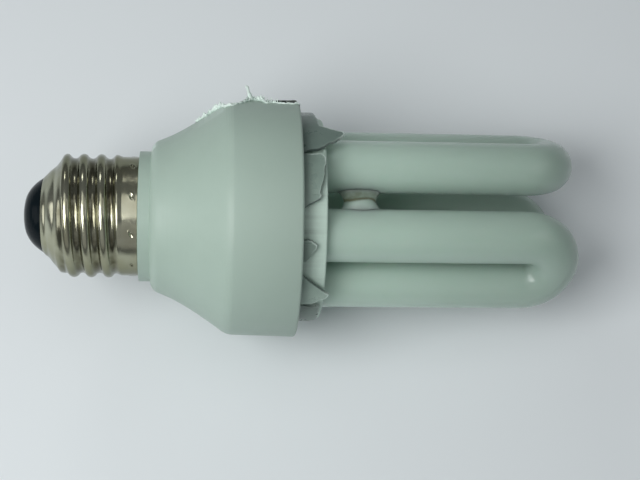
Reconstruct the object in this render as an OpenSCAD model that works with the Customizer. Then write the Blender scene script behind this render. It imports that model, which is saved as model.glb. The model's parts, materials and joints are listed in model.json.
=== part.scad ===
// Compact fluorescent reflector lamp with an Edison screw cap, lying on its side as it comes to rest.
// Its glass reflector is broken off, and the stubs of the neck still stand in the groove round the tubes.
// Lengths are in millimetres. Heights run along the lamp, from the face of the centre contact to the tubes.
// Angles run round the lamp: 0 faces the floor, 90 and 270 face the two sides and 180 faces up.

/* [Cap] */
// Diameter over the crests of the screw thread
thread_d = 26.2; // [25.9:0.05:26.5]
// Distance from one crest of the thread to the next
thread_pitch = 3.629; // [3.5:0.001:3.75]
// Depth of the thread from crest to root
thread_depth = 0.95; // [0.7:0.05:1.05]
// Height of the thread's first full crest at angle 0
thread_crest = 11.2; // [10:0.1:12]
// Diameter of the plain skirt next to the collar
skirt_d = 25.3; // [25:0.05:25.6]
// Length of the skirt that is free of the thread
skirt_len = 3.1; // [2.6:0.1:4]
// Height of the end of the skirt, where the cap meets the collar
cap_len = 24.1; // [23.8:0.1:25]
// Thickness of the sheet brass of the shell
shell_wall = 0.35; // [0.25:0.05:0.45]
// Diameter of the shell's small end, where it grips the insulator
lip_d = 15.8; // [15:0.1:16.6]
// Height of the shell's small end
lip_z = 3.9; // [3.5:0.1:4.4]
// Slope of the cone between the small end and the thread, from the axis
flare_angle = 46; // [44:0.5:48]
// Number of punch marks that pin the skirt to the neck inside it
crimp_count = 10; // [6:1:12]
// Depth of each punch mark
crimp_depth = 0.45; // [0.2:0.05:0.5]
// Distance of the punch marks from the end of the skirt
crimp_inset = 1.3; // [1.2:0.1:1.6]

/* [Insulator and contact] */
// Diameter of the centre contact
contact_d = 5.2; // [4.6:0.1:5.8]
// Thickness of the centre contact
contact_t = 0.9; // [0.7:0.05:1.1]
// How far the centre contact stands out of the glass
contact_proud = 0.15; // [0.1:0.05:0.3]
// Width of the flat ring of glass round the contact
glass_rim = 0.4; // [0.2:0.1:0.6]
// Depth of the glass insulator inside the shell
insulator_depth = 3.5; // [3:0.1:4]
// Diameter of the hole in the insulator for the lead
lead_hole_d = 2.2; // [1.8:0.1:2.6]

/* [Housing] */
// How far the collar that the cap butts against stands out from the skirt
collar_step = 1.2; // [0.9:0.1:1.5]
// Length of the collar
collar_len = 2.4; // [2:0.1:3]
// Radius of the rounded shoulder above the collar
shoulder_r = 2.6; // [2:0.1:3]
// Slope of the cone where it leaves the shoulder
cone_angle = 19; // [17:0.5:21]
// Height of the shoulder and the cone together
cone_len = 14.9; // [14:0.1:16]
// How far the top of the cone lies inside the band
cone_inset = 0.95; // [0.6:0.05:1.2]
// Length of the band, up to the rim
band_len = 15.95; // [15:0.05:17]
// How much wider the rim is than the band where the cone meets it
band_draft = 0.7; // [0:0.1:1]
// Diameter at the rim
rim_d = 50.8; // [50.6:0.1:51.6]
// Radius of the rim's rounded edge
rim_r = 0.5; // [0.3:0.1:0.7]
// Thickness of the wall of the mouth, at the rim
mouth_wall = 2.1; // [1.8:0.1:2.4]
// Thickness of the moulded wall elsewhere
housing_wall = 1.5; // [1.3:0.1:1.7]
// Length of the neck that the cap's skirt slides over
neck_len = 6; // [5:0.1:7]
// Thickness of the neck's wall
neck_wall = 1.3; // [1.1:0.1:1.5]
// Depth of the mouth, from the rim to the ledge that the tube holder sits on
mouth_depth = 7.85; // [7.4:0.05:8.2]
// Width of the ledge
ledge_w = 1.3; // [1.1:0.1:1.5]
// Number of ribs that carry the circuit board
rib_count = 4; // [3:1:6]
// Thickness of each rib
rib_t = 1.6; // [1.2:0.1:2]
// How far each rib reaches under the circuit board
rib_reach = 1.2; // [0.8:0.1:1.6]

/* [Tube holder] */
// Width of the groove between the tube holder and the mouth, where the reflector's neck stood
groove_w = 1.95; // [1.85:0.05:2.3]
// How far the tube holder's face stands out of the rim
holder_proud = 5.05; // [4.6:0.05:5.6]
// Width of the holder's face outside the tubes
holder_margin = 1.76; // [1.6:0.02:2.2]
// Thickness of the face
holder_face_t = 1.8; // [1.4:0.1:2.2]
// Thickness of the holder's side wall
holder_wall = 1.5; // [1.2:0.1:1.6]
// Thickness of the foot that sits on the ledge
holder_foot_t = 1.5; // [1.2:0.1:1.8]
// Radius of the face's rounded edge
holder_edge_r = 0.4; // [0.2:0.1:0.6]

/* [Discharge tube] */
// Gap between the two legs of one bent tube
leg_gap = 2; // [1.8:0.05:2.4]
// Gap between the legs of neighbouring tubes
tube_gap = 4.15; // [3.8:0.05:4.6]
// Length of the straight legs above the rim
leg_len = 47.65; // [40:0.05:58]
// How far the closed ends of the legs reach below the rim
leg_root = 3.35; // [2.8:0.05:3.6]
// Height above the holder's face of the glass bridges that join neighbouring tubes
bridge_up = 7.6; // [7:0.1:12]
// Diameter of a bridge where it is fused to a leg
bridge_d = 7.6; // [6.6:0.1:8]
// Diameter of a bridge at its waist
bridge_waist_d = 6; // [5:0.1:6.4]
// Thickness of the cement behind the holder's face
cement_t = 3.2; // [2.5:0.1:4]

/* [Broken reflector] */
// Gap between the mouth and the reflector's glass neck
glass_gap = 0.5; // [0.4:0.05:0.6]
// Thickness of that glass
neck_glass_t = 0.9; // [0.8:0.05:1]
// Height of the surface of the adhesive below the rim
adhesive_sunk = 2.6; // [2.2:0.1:3]
// Depth of the channel that the glass left in the adhesive
channel_depth = 1.5; // [1.2:0.1:1.7]
// Height of the tallest stub above the rim
stub_len = 9.1; // [7:0.1:11]

/* [Torn wall] */
// Angle round the lamp of the middle of the tear in the housing
tear_angle = 113; // [108:1:118]
// Length of the tear along the lamp, from the rim
tear_len = 21.4; // [18:0.1:24]
// Width of the lip of white glue along the edge that shows
lip_w = 1.1; // [0.8:0.1:1.6]
// Height of that lip where it stands highest
lip_h = 0.85; // [0.6:0.05:1.1]
// How far the strand of glue stands out of the lip
strand_len = 2.9; // [2:0.1:3.6]
// Thickness of the strand
strand_d = 0.65; // [0.5:0.05:1]

/* [Circuit] */
// Gap between the circuit board and the ledge above it
board_gap = 0.4; // [0.3:0.05:0.6]
// Thickness of the circuit board
board_t = 1.2; // [1:0.1:1.6]
// How far the circuit board's lower face lies below the ledge
board_sunk = 5.5; // [5:0.1:6]
// Diameter of the smoothing capacitor's can
smoothing_d = 10; // [9:0.1:10.5]
// Length of the smoothing capacitor's can
smoothing_len = 17.5; // [14:0.1:18]
// Diameter of the copper leads
lead_d = 0.6; // [0.5:0.05:0.7]

/* [Fits] */
// Clearance between pieces that seat on or in each other
fit = 0.05; // [0.03:0.01:0.08]
// Clearance round each leg in the tube holder
leg_fit = 0.15; // [0.1:0.05:0.2]

/* [Hidden] */
$fn = 64;

// Radii of the cap. The neck inside it clears both the thread's roots and the punch marks of the skirt.
crest_r = thread_d / 2;
skirt_r = skirt_d / 2;
lip_r = lip_d / 2;
neck_r = min(skirt_r - crimp_depth, crest_r - thread_depth) - shell_wall - 2 * fit;
collar_r = skirt_r + collar_step;

// Radii of the mouth, from the rim inwards
mouth_r = rim_d / 2 - mouth_wall;
glass_r = mouth_r - glass_gap;
ledge_r = mouth_r - ledge_w;
board_r = ledge_r - board_gap;
holder_r = mouth_r - groove_w;
band_d = rim_d - band_draft;
band_r = band_d / 2;
cone_r = band_r - cone_inset;

// The six legs, two on each of three bent tubes, fill the holder's face up to its margin. They stand on a
// hexagon whose sides are in turn p = tube_d + leg_gap and q = tube_d + tube_gap long, and the circle
// through them has the radius sqrt((p * p + p * q + q * q) / 3). That radius and half a tube make up
// leg_reach, which leaves a quadratic equation for the tube's diameter.
leg_reach = holder_r - holder_margin;
gap_sum = leg_gap + tube_gap + leg_reach;
gap_square = (pow(leg_gap, 2) + leg_gap * tube_gap + pow(tube_gap, 2)) / 3 - pow(leg_reach, 2);
tube_d = (sqrt(pow(gap_sum, 2) - 3 * gap_square) - gap_sum) / 1.5;
leg_pitch = tube_d + leg_gap;
leg_circle = leg_reach - tube_d / 2;
tube_offset = sqrt(pow(leg_circle, 2) - pow(leg_pitch / 2, 2));
leg_half_angle = atan(leg_pitch / 2 / tube_offset);
tube_angles = [0, 120, 240];
bridge_angles = [180, 300];

// Heights from the contact upwards
thread_end = cap_len - skirt_len;
flare_top = lip_z + (skirt_r - lip_r) / tan(flare_angle);
insulator_top = lip_z + insulator_depth;
shoulder_z = cap_len + collar_len;
cone_top = shoulder_z + cone_len;
rim_z = cone_top + band_len;
ledge_z = rim_z - mouth_depth;
board_z = ledge_z - board_sunk;
holder_z = rim_z + holder_proud;
leg_foot_z = rim_z - leg_root;
bridge_z = holder_z + bridge_up;
bend_z = rim_z + leg_len;

// The lamp rests on its rim and on the bend of the lowest tube, so its axis leans by the angle of the
// straight line that touches both the rim's rounded edge and the round section of that bend.
rim_point = [rim_d / 2 - rim_r, rim_z - rim_r];
bend_point = [tube_offset, bend_z + leg_pitch / 2];
span = bend_point - rim_point;
rest_tilt = asin((rim_r - tube_d / 2) / norm(span)) - atan2(span[0], span[1]);

// Lays the lamp down: its axis runs along +X and leans down towards the tubes, and angle 0 faces the floor.
module lying() {
    rotate([0, 90 + rest_tilt, 0])
        children();
}

// Points on an arc, given as [radius, height]
function arc(centre, r, from, to, steps) =
    [for (i = [0:steps]) centre + r * [cos(from + (to - from) * i / steps), sin(from + (to - from) * i / steps)]];

// Points on a quadratic curve from a to c that leaves and arrives along the lines to b, without a itself
function curve(a, b, c, steps) =
    [for (i = [1:steps]) let (t = i / steps) (1 - t) * (1 - t) * a + 2 * t * (1 - t) * b + t * t * c];

// Smooth step from 0 to 1
function ease(t) = let (c = min(max(t, 0), 1)) c * c * (3 - 2 * c);

// Triangles of a closed grid of points: ring after ring, with both directions joined up
function torus_faces(rings, sides) =
    [for (i = [0:rings - 1], j = [0:sides - 1])
        let (a = i * sides + j, b = i * sides + (j + 1) % sides,
            c = ((i + 1) % rings) * sides + j, d = ((i + 1) % rings) * sides + (j + 1) % sides)
        each [[a, b, d], [a, d, c]]];

// The same for a tube with two flat ends. Each end is a ladder between the two halves of its ring.
function tube_faces(rings, sides) = concat(
    [for (i = [0:rings - 2], j = [0:sides - 1])
        let (a = i * sides + j, b = i * sides + (j + 1) % sides, c = a + sides, d = b + sides)
        each [[a, b, d], [a, d, c]]],
    [for (a = [0:sides / 2 - 2]) let (b = a + 1, c = sides - 1 - b, d = sides - 1 - a)
        each [[a, c, b], [a, d, c]]],
    [for (j = [0:sides / 2 - 2])
        let (s = (rings - 1) * sides, a = s + j, b = a + 1, c = s + sides - 2 - j, d = c + 1)
        each [[a, b, c], [a, c, d]]]);

/* Screw shell */

// The rolled thread is two equal arcs, one over each crest and one under each root, that meet as tangents.
thread_arc_r = (pow(thread_pitch / 2, 2) + pow(thread_depth, 2)) / (4 * thread_depth);

// Share of the thread's depth at a distance from the crest, both ways, with the distance in turns
function thread_form(turns) =
    let (q = abs(turns - round(turns)))
    q < 0.25
        ? 1 - (thread_arc_r - sqrt(pow(thread_arc_r, 2) - pow(q * thread_pitch, 2))) / thread_depth
        : (thread_arc_r - sqrt(pow(thread_arc_r, 2) - pow((0.5 - q) * thread_pitch, 2))) / thread_depth;

// Radius of the shell without its thread: the cone from the insulator, then the skirt
function plain_r(z) = min(lip_r + (z - lip_z) * tan(flare_angle), skirt_r);

// How far the thread is formed at a height: it starts on the cone and runs out into the skirt
function thread_share(z) =
    ease((z - flare_top + thread_pitch / 2) / (thread_pitch * 0.7)) * ease((thread_end - z) / (thread_pitch * 0.6));

// Depth of the nearest punch mark at a height and angle
function crimp(z, angle) =
    let (step = 360 / crimp_count, off = angle / step - round(angle / step))
    crimp_depth * max(0, 1 - abs(off * step) / 7) * max(0, 1 - abs(z - cap_len + crimp_inset) / 1.1);

// Outer radius of the shell. The thread is right-handed: a crest climbs one pitch with each turn.
function shell_r(z, angle) =
    let (turns = (z - thread_crest) / thread_pitch - angle / 360, share = thread_share(z))
    plain_r(z) * (1 - share) + (crest_r - thread_depth * (1 - thread_form(turns))) * share - crimp(z, angle);

shell_sides = 50;
shell_end = cap_len - fit;
thread_rows = ceil((thread_end - flare_top) / (thread_pitch / 6));
shell_heights = concat(
    [for (i = [0:4]) lip_z + (flare_top - lip_z) * i / 5],
    [for (i = [0:thread_rows - 1]) flare_top + (thread_end - flare_top) * i / thread_rows],
    [thread_end],
    [for (i = [-2:1]) cap_len - crimp_inset + i * 0.55],
    [shell_end]);

module screw_shell() {
    rows = len(shell_heights);
    // The sheet is measured square to its surface, so it is thicker across the radius on the cone
    outer = [for (z = shell_heights) [for (j = [0:shell_sides - 1])
        let (angle = j * 360 / shell_sides, r = shell_r(z, angle)) [r * cos(angle), r * sin(angle), z]]];
    inner = [for (i = [rows - 1:-1:0]) [for (j = [0:shell_sides - 1])
        let (z = shell_heights[i], angle = j * 360 / shell_sides,
            r = shell_r(z, angle) - shell_wall / (z < flare_top - 0.01 ? cos(flare_angle) : 1))
        [r * cos(angle), r * sin(angle), z]]];
    rings = concat(outer, inner);
    color("#8f8f7a")
        lying()
            polyhedron(points = [for (ring = rings) each ring], faces = torus_faces(len(rings), shell_sides));
}

/* Insulator and contact */

module centre_contact() {
    color("#b9b9b0")
        lying()
            rotate_extrude()
                polygon([[0, 0], [contact_d / 2 - 0.4, 0], [contact_d / 2, 0.3], [contact_d / 2, contact_t],
                    [0, contact_t]]);
}

module cap_insulator() {
    seat_r = contact_d / 2 + fit;
    rim = [seat_r + glass_rim, contact_proud];
    lip = [lip_r - fit, lip_z - fit];
    inside = fit + shell_wall / cos(flare_angle);
    color("#101c20")
        lying()
            rotate_extrude()
                polygon(concat(
                    [[seat_r, contact_t + fit], [seat_r, contact_proud], rim],
                    curve(rim, [lip_r * 0.75, contact_proud + 0.6], lip, 10),
                    [[plain_r(lip_z - fit) - inside, lip_z - fit], [plain_r(insulator_top) - inside, insulator_top],
                        [lead_hole_d / 2, insulator_top], [lead_hole_d / 2, contact_t + fit]]));
}

/* Housing */

cone_start = [collar_r + shoulder_r * cos(cone_angle), shoulder_z + shoulder_r * (1 - sin(cone_angle))];
cone_end = [cone_r, cone_top];
cone_knee_z = cone_start[1] + 0.37 * (cone_end[1] - cone_start[1]);
cone_knee = [cone_start[0] + tan(cone_angle) * (cone_knee_z - cone_start[1]), cone_knee_z];
cone_slope = (cone_end[0] - cone_knee[0]) / (cone_end[1] - cone_knee[1]);
band_corner = [band_r, cone_top + (band_r - cone_r) / cone_slope];
band_start = [band_r, 2 * band_corner[1] - cone_top];

// Outer outline of the housing from the collar to the rim, as [radius, height]
housing_outline = concat(
    [[collar_r, cap_len]],
    arc([collar_r, shoulder_z + shoulder_r], shoulder_r, -90, -cone_angle, 7),
    curve(cone_start, cone_knee, cone_end, 12),
    curve(cone_end, band_corner, band_start, 5),
    arc(rim_point, rim_r, 0, 90, 4));

// Radius of the housing's outside at a height
housing_heights = [for (p = housing_outline) [p[1], p[0]]];
function housing_r(z) = lookup(z, housing_heights);

neck_top_z = cap_len - neck_len;
bore_r = neck_r - neck_wall;
ledge_t = 1.3;

// Inner outline from the mouth down to the neck: the outer one moved in by the wall
housing_bore = concat(
    [[mouth_r, rim_z], [mouth_r, ledge_z], [ledge_r, ledge_z], [ledge_r, ledge_z - ledge_t]],
    [for (i = [0:12])
        let (z = (ledge_z - ledge_t - 1.5) * (1 - i / 12) + (shoulder_z + shoulder_r) * i / 12)
        [housing_r(z) - housing_wall * norm([1, (housing_r(z + 0.5) - housing_r(z - 0.5))]), z]],
    [[collar_r - housing_wall, shoulder_z], [bore_r, cap_len + 0.6], [bore_r, neck_top_z]]);

module board_rib() {
    foot_z = board_z - 5;
    rotate([90, 0, 0])
        translate([0, 0, -rib_t / 2])
            linear_extrude(rib_t)
                polygon([[board_r - rib_reach, board_z - fit], [housing_r(board_z) - housing_wall / 2, board_z - fit],
                    [housing_r(foot_z) - housing_wall / 2, foot_z]]);
}

// Near and far edge of the tear, as [share of its length from the rim, degrees from its middle]. The near
// edge faces the side that the lamp shows, and its third number is the share of the glue lip's height there.
near_edge = [[-0.05, 13, 0.3], [0.07, 15, 0.4], [0.19, 14, 0.3], [0.26, 12, 0.35], [0.32, 13, 0.5],
    [0.38, 6, 0.75], [0.44, 5, 1], [0.51, 8, 0.9], [0.58, 13, 0.4], [0.65, 16, 0.35], [0.72, 15, 0.4],
    [0.77, 7, 0.9], [0.84, 4, 1], [0.9, 5, 0.5], [0.95, 2, 0.35], [1, 0, 0.3]];
far_edge = [[0.95, -3], [0.91, -5], [0.82, -6], [0.75, -9.5], [0.64, -11], [0.53, -9.5], [0.45, -10.5],
    [0.36, -5], [0.28, -6], [0.2, -3], [0.11, -4], [-0.05, -2]];

// Places a point of an edge as seen square on at the tear's middle, and a shape drawn with such points
function tear_point(share, angle) = [rim_d / 2 * sin(angle), rim_z - share * tear_len];
module from_tear() {
    rotate(tear_angle)
        rotate([90, 0, 90])
            linear_extrude(rim_d)
                children();
}

module housing() {
    color("#dfe6dd")
        lying()
            union() {
                difference() {
                    rotate_extrude()
                        polygon(concat([[neck_r, neck_top_z], [neck_r, cap_len]], housing_outline, housing_bore));
                    from_tear()
                        polygon([for (p = concat(near_edge, far_edge)) tear_point(p[0], p[1])]);
                }
                for (i = [0:rib_count - 1])
                    rotate(45 + i * 360 / rib_count)
                        board_rib();
            }
}

/* Tube holder and cement */

// Places its child at each of the six legs
module at_legs() {
    for (a = tube_angles, side = [-1, 1])
        rotate(a)
            translate([tube_offset, side * leg_pitch / 2, 0])
                children();
}

module tube_holder() {
    inner_r = holder_r - holder_wall;
    foot_z = ledge_z + fit;
    color("#d8e0d8")
        lying()
            difference() {
                rotate_extrude()
                    polygon(concat(
                        [[inner_r, foot_z], [mouth_r - fit, foot_z], [mouth_r - fit, foot_z + holder_foot_t],
                            [holder_r, foot_z + holder_foot_t]],
                        arc([holder_r - holder_edge_r, holder_z - holder_edge_r], holder_edge_r, 0, 90, 4),
                        [[0, holder_z], [0, holder_z - holder_face_t], [inner_r, holder_z - holder_face_t]]));
                at_legs()
                    translate([0, 0, holder_z - holder_face_t - 1])
                        cylinder(d = tube_d + 2 * leg_fit, h = holder_face_t + 2);
            }
}

module tube_cement() {
    top = holder_z - holder_face_t - fit;
    color("#c9c4b6")
        lying()
            difference() {
                translate([0, 0, top - cement_t])
                    cylinder(r = holder_r - holder_wall - fit, h = cement_t);
                at_legs()
                    translate([0, 0, top - cement_t - 1])
                        cylinder(d = tube_d + 2 * fit, h = cement_t + 2);
            }
}

/* Discharge tube */

// One leg, from its domed foot to the start of the bend
module leg() {
    r = tube_d / 2;
    dome = 1.6;
    rotate_extrude()
        polygon(concat([[0, leg_foot_z]], arc([r - dome, leg_foot_z + dome], dome, -90, 0, 5), [[r, bend_z], [0, bend_z]]));
}

// One tube bent into a U: two legs and a half ring
module bent_tube() {
    for (side = [-1, 1])
        translate([tube_offset, side * leg_pitch / 2, 0])
            leg();
    translate([tube_offset, 0, bend_z])
        rotate([90, 0, 90])
            rotate_extrude(angle = 180)
                translate([leg_pitch / 2, 0])
                    circle(d = tube_d);
}

// The fused glass neck between two neighbouring tubes, waisted in the middle
module bridge() {
    half_gap = leg_circle * sin(60 - leg_half_angle) - tube_d / 2;
    depth = leg_circle * cos(60 - leg_half_angle);
    waist = [bridge_waist_d / 2, 0];
    flare = curve(waist, [bridge_waist_d / 2, half_gap], [bridge_d / 2, half_gap + 0.5], 5);
    translate([depth, 0, bridge_z])
        rotate([90, 0, 0])
            rotate_extrude()
                polygon(concat(
                    [[0, -half_gap - 2], [bridge_d / 2, -half_gap - 2]],
                    [for (i = [4:-1:0]) [flare[i][0], -flare[i][1]]],
                    [waist],
                    flare,
                    [[bridge_d / 2, half_gap + 2], [0, half_gap + 2]]));
}

module discharge_tube() {
    color("#d3dcd2")
        lying()
            union() {
                for (a = tube_angles)
                    rotate(a)
                        bent_tube();
                for (a = bridge_angles)
                    rotate(a)
                        bridge();
            }
}

/* Broken reflector */

adhesive_z = rim_z - adhesive_sunk;
glass_foot_z = adhesive_z - channel_depth + fit;

module reflector_adhesive() {
    bottom = ledge_z + fit + holder_foot_t + fit;
    outer_r = mouth_r - fit;
    inner_r = holder_r + fit;
    color("#c3c6b4")
        lying()
            rotate_extrude()
                polygon([[inner_r, bottom], [outer_r, bottom], [outer_r, adhesive_z], [glass_r + fit, adhesive_z],
                    [glass_r + fit, adhesive_z - channel_depth], [glass_r - neck_glass_t - fit, adhesive_z - channel_depth],
                    [glass_r - neck_glass_t - fit, adhesive_z], [inner_r, adhesive_z]]);
}

// A stub of the neck's wall. Its broken edge is a list of [angle round the lamp, share of stub_len above
// the rim], cut square on from the angle that the list is drawn from.
module glass_stub(edge, middle) {
    wall_middle = glass_r - neck_glass_t / 2;
    flat = [for (p = edge) [wall_middle * sin(p[0] - middle), rim_z + p[1] * stub_len]];
    first = flat[0][0];
    last = flat[len(flat) - 1][0];
    color("#8fa3a2")
        lying()
            intersection() {
                translate([0, 0, glass_foot_z])
                    rotate_extrude()
                        translate([glass_r - neck_glass_t, 0])
                            square([neck_glass_t, rim_z + stub_len - glass_foot_z]);
                rotate(middle)
                    rotate([90, 0, 90])
                        linear_extrude(rim_d)
                            polygon(concat([[first, glass_foot_z - 1]], flat, [[last, glass_foot_z - 1]]));
            }
}

// Broken edges as the lamp shows them, in order round the groove, and the angle each is drawn from
stub_edge_1 = [[99, 0.3], [112, 0.34], [124, 0.38], [136, 0.43], [140.5, 0.45], [143, 0.66], [145, 0.81],
    [145.8, 0.95], [148.5, 1], [151, 0.92], [154.3, 0.78], [156, 0.62], [158.2, 0.51], [160.2, 0.4],
    [160.9, 0.24], [161.5, 0.09]];
stub_edge_2 = [[163.2, 0.1], [162.7, 0.27], [162.6, 0.38], [163.2, 0.45], [164.5, 0.51], [166.5, 0.53],
    [168.6, 0.53], [173, 0.49], [178, 0.47], [183, 0.4], [185.5, 0.37], [187, 0.42], [189, 0.37],
    [192, 0.13], [193.5, 0.02]];
stub_edge_3 = [[209.8, 0.03], [208.8, 0.12], [209.8, 0.21], [212, 0.33], [214.5, 0.31], [217, 0.23],
    [218.8, 0.19], [221, 0.08]];
stub_edge_4 = [[228.6, 0.02], [231.5, 0.16], [234.6, 0.31], [239.3, 0.55], [241.4, 0.66], [243, 0.65],
    [244.5, 0.6], [246.1, 0.48], [248.3, 0.35], [249.2, 0.26]];
stub_edge_5 = [[250.3, 0.09], [251.5, 0.27], [250.8, 0.47], [257.6, 0.48], [264, 0.47], [267.4, 0.42],
    [269.4, 0.26]];

module glass_stub_1() { glass_stub(stub_edge_1, 148); }
module glass_stub_2() { glass_stub(stub_edge_2, 172); }
module glass_stub_3() { glass_stub(stub_edge_3, 214); }
module glass_stub_4() { glass_stub(stub_edge_4, 242); }
module glass_stub_5() { glass_stub(stub_edge_5, 257); }

/* Torn glue */

glue_seat = 2 * fit;

// Height at which the lip is drawn: at each step of the housing's outline, and evenly up the straight band
lip_low = rim_z - tear_len;
lip_steps = 9;
lip_heights = concat([lip_low],
    [for (p = housing_outline) if (p[1] > lip_low && p[1] <= band_start[1]) p[1]],
    [for (i = [1:lip_steps]) band_start[1] + (rim_point[1] - band_start[1]) * i / lip_steps]);
lip_rise = [for (i = [len(near_edge) - 1:-1:0]) [rim_z - near_edge[i][0] * tear_len, near_edge[i][2] * lip_h]];
function lip_r_in(z) = housing_r(z) + glue_seat;

// A lip of glue on the housing's outside, along the near edge of the tear
module torn_glue() {
    last = len(lip_heights) - 1;
    color("#c2d2cc")
        lying()
            intersection() {
                rotate_extrude()
                    polygon(concat(
                        [for (z = lip_heights) [lip_r_in(z), z]],
                        [for (i = [last:-1:0]) let (z = lip_heights[i]) [lip_r_in(z) + lookup(z, lip_rise), z]]));
                from_tear()
                    polygon(concat(
                        [for (p = near_edge) tear_point(p[0], p[1])],
                        [for (i = [len(near_edge) - 1:-1:0])
                            tear_point(near_edge[i][0], near_edge[i][1]) + [lip_w * (0.8 + 0.3 * (i % 2)), 0]]));
            }
}

// A strand of glue drawn out of the lip. It leans towards the cap as it rises, thins out and ends in a bead.
module glue_strand() {
    sides = 8;
    rings = 10;
    foot_z = rim_z - 0.47 * tear_len;
    foot_r = lip_r_in(foot_z) + lip_h + fit;
    points = [for (i = [0:rings - 1])
        let (t = i / (rings - 1),
            r = strand_d / 2 * (t < 0.8 ? 1.25 - 0.6 * t : 0.8 + 0.5 * sin((t - 0.8) * 900)),
            middle = [foot_r + strand_len * t, 0.5 * sin(150 * t), foot_z - 0.4 * strand_len * t * t])
        each [for (j = [0:sides - 1]) let (a = j * 360 / sides) middle + r * [0, sin(a), cos(a)]]];
    color("#d9e6e2")
        lying()
            rotate(tear_angle + 6.5)
                polyhedron(points = points, faces = tube_faces(rings, sides));
}

/* Circuit */

board_top = board_z + board_t;

module circuit_board() {
    color("#b49a5e")
        lying()
            translate([0, 0, board_z])
                cylinder(r = board_r, h = board_t);
}

// Places its child on the lower face of the board, upside down, so that heights count away from the board
module under_board(x, y) {
    translate([x, y, board_z - fit])
        rotate([180, 0, 0])
            children();
}

smoothing_x = smoothing_d / 2 + 1.3;
module smoothing_capacitor() {
    groove = 0.4;
    r = smoothing_d / 2;
    color("#2b3742")
        lying()
            under_board(smoothing_x, 0)
                rotate_extrude()
                    polygon([[0, 0], [r - groove, 0], [r - groove, 1.2], [r, 1.6], [r, smoothing_len - 0.5],
                        [r - 0.5, smoothing_len], [0, smoothing_len]]);
}

// Ferrite core of two E halves, with the winding on its middle leg
core_w = 11;
core_l = 12;
core_h = 10;
core_x = -8.5;
core_bar = 2.6;
winding_h = core_h - 2 * core_bar - 2 * fit;
module choke_core() {
    color("#3a3a3c")
        lying()
            under_board(core_x, 0)
                translate([-core_w / 2, -core_l / 2, 0]) {
                    difference() {
                        cube([core_w, core_l, core_h]);
                        for (y = [core_bar, core_l / 2 + core_bar / 2])
                            translate([-1, y, core_bar])
                                cube([core_w + 2, core_l / 2 - 1.5 * core_bar, core_h - 2 * core_bar]);
                    }
                }
}

module choke_winding() {
    wind = core_l / 2 - 1.5 * core_bar - 2 * fit;
    half = core_bar / 2 + fit;
    color("#a8693a")
        lying()
            under_board(core_x, 0)
                translate([0, 0, core_bar + fit])
                    difference() {
                        translate([-core_w / 2 - wind, -half - wind, 0])
                            cube([core_w + 2 * wind, 2 * half + 2 * wind, winding_h]);
                        translate([-core_w / 2 - fit, -half, -1])
                            cube([core_w + 2 * fit, 2 * half, winding_h + 2]);
                    }
}

ring_d = 9.5;
ring_hole_d = 5;
ring_t = 4;
ring_x = -1;
ring_y = board_r - 7.4;
turn_t = 0.5;
turn_w = 1.8;
module drive_ring() {
    color("#4a4f55")
        lying()
            under_board(ring_x, ring_y)
                translate([0, 0, turn_t + fit])
                    difference() {
                        cylinder(d = ring_d, h = ring_t);
                        translate([0, 0, -1])
                            cylinder(d = ring_hole_d, h = ring_t + 2);
                    }
}

// Three windings on the ring, each a closed band round its section
module drive_windings() {
    inner_x = ring_hole_d / 2 * cos(asin(turn_w / ring_hole_d)) - fit - turn_t;
    long = ring_d / 2 + fit + turn_t - inner_x;
    tall = ring_t + 2 * turn_t + 2 * fit;
    color("#b5512f")
        lying()
            under_board(ring_x, ring_y)
                for (a = [90, 210, 330])
                    rotate(a)
                        translate([inner_x, -turn_w / 2, 0])
                            difference() {
                                cube([long, turn_w, tall]);
                                translate([turn_t, -1, turn_t])
                                    cube([long - 2 * turn_t, turn_w + 2, tall - 2 * turn_t]);
                            }
}

// Small plastic transistor: a round body with one flat face, on three legs
module transistor(x, y, turn) {
    body_d = 4.8;
    body_h = 4.6;
    flat_share = 0.78;
    leg_len = 2.5;
    leg_gap = 1.27;
    color("#1d1f22")
        lying()
            under_board(x, y)
                rotate(turn)
                    union() {
                        translate([0, 0, leg_len])
                            intersection() {
                                cylinder(d = body_d, h = body_h);
                                translate([-body_d / 2, -body_d / 2, 0])
                                    cube([body_d, body_d * flat_share, body_h]);
                            }
                        for (i = [-1:1])
                            translate([i * leg_gap - lead_d / 2, -lead_d / 2, 0])
                                cube([lead_d, lead_d, leg_len + 1]);
                    }
}
transistor_at = board_r * 0.53;
module transistor_1() { transistor(transistor_at, transistor_at, -45); }
module transistor_2() { transistor(transistor_at, -transistor_at, 45); }

// Dipped film capacitor: a rounded block on two leads
module film_capacitor(x, y, turn, w, t, h) {
    corner = t * 0.3;
    stand = 1;
    color("#8a3b2a")
        lying()
            under_board(x, y)
                rotate(turn)
                    union() {
                        translate([-w / 2, t / 2, stand])
                            rotate([90, 0, 0])
                                linear_extrude(t)
                                    polygon([[corner, 0], [w - corner, 0], [w, corner], [w, h - corner],
                                        [w - corner, h], [corner, h], [0, h - corner], [0, corner]]);
                        for (side = [-1, 1])
                            translate([side * w * 0.35 - lead_d / 2, -lead_d / 2, 0])
                                cube([lead_d, lead_d, stand + corner]);
                    }
}
film_w = 9.5;
film_t = 4.4;
film_h = 8;
film_x = -2.5;
film_inset = 8;
small_film_w = 6.4;
small_film_t = 3;
small_film_h = 6;
small_film_at = board_r * 0.51;
module film_capacitor_1() { film_capacitor(film_x, film_inset - board_r, 0, film_w, film_t, film_h); }
module film_capacitor_2() {
    film_capacitor(-small_film_at, small_film_at, -45, small_film_w, small_film_t, small_film_h);
}

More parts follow.
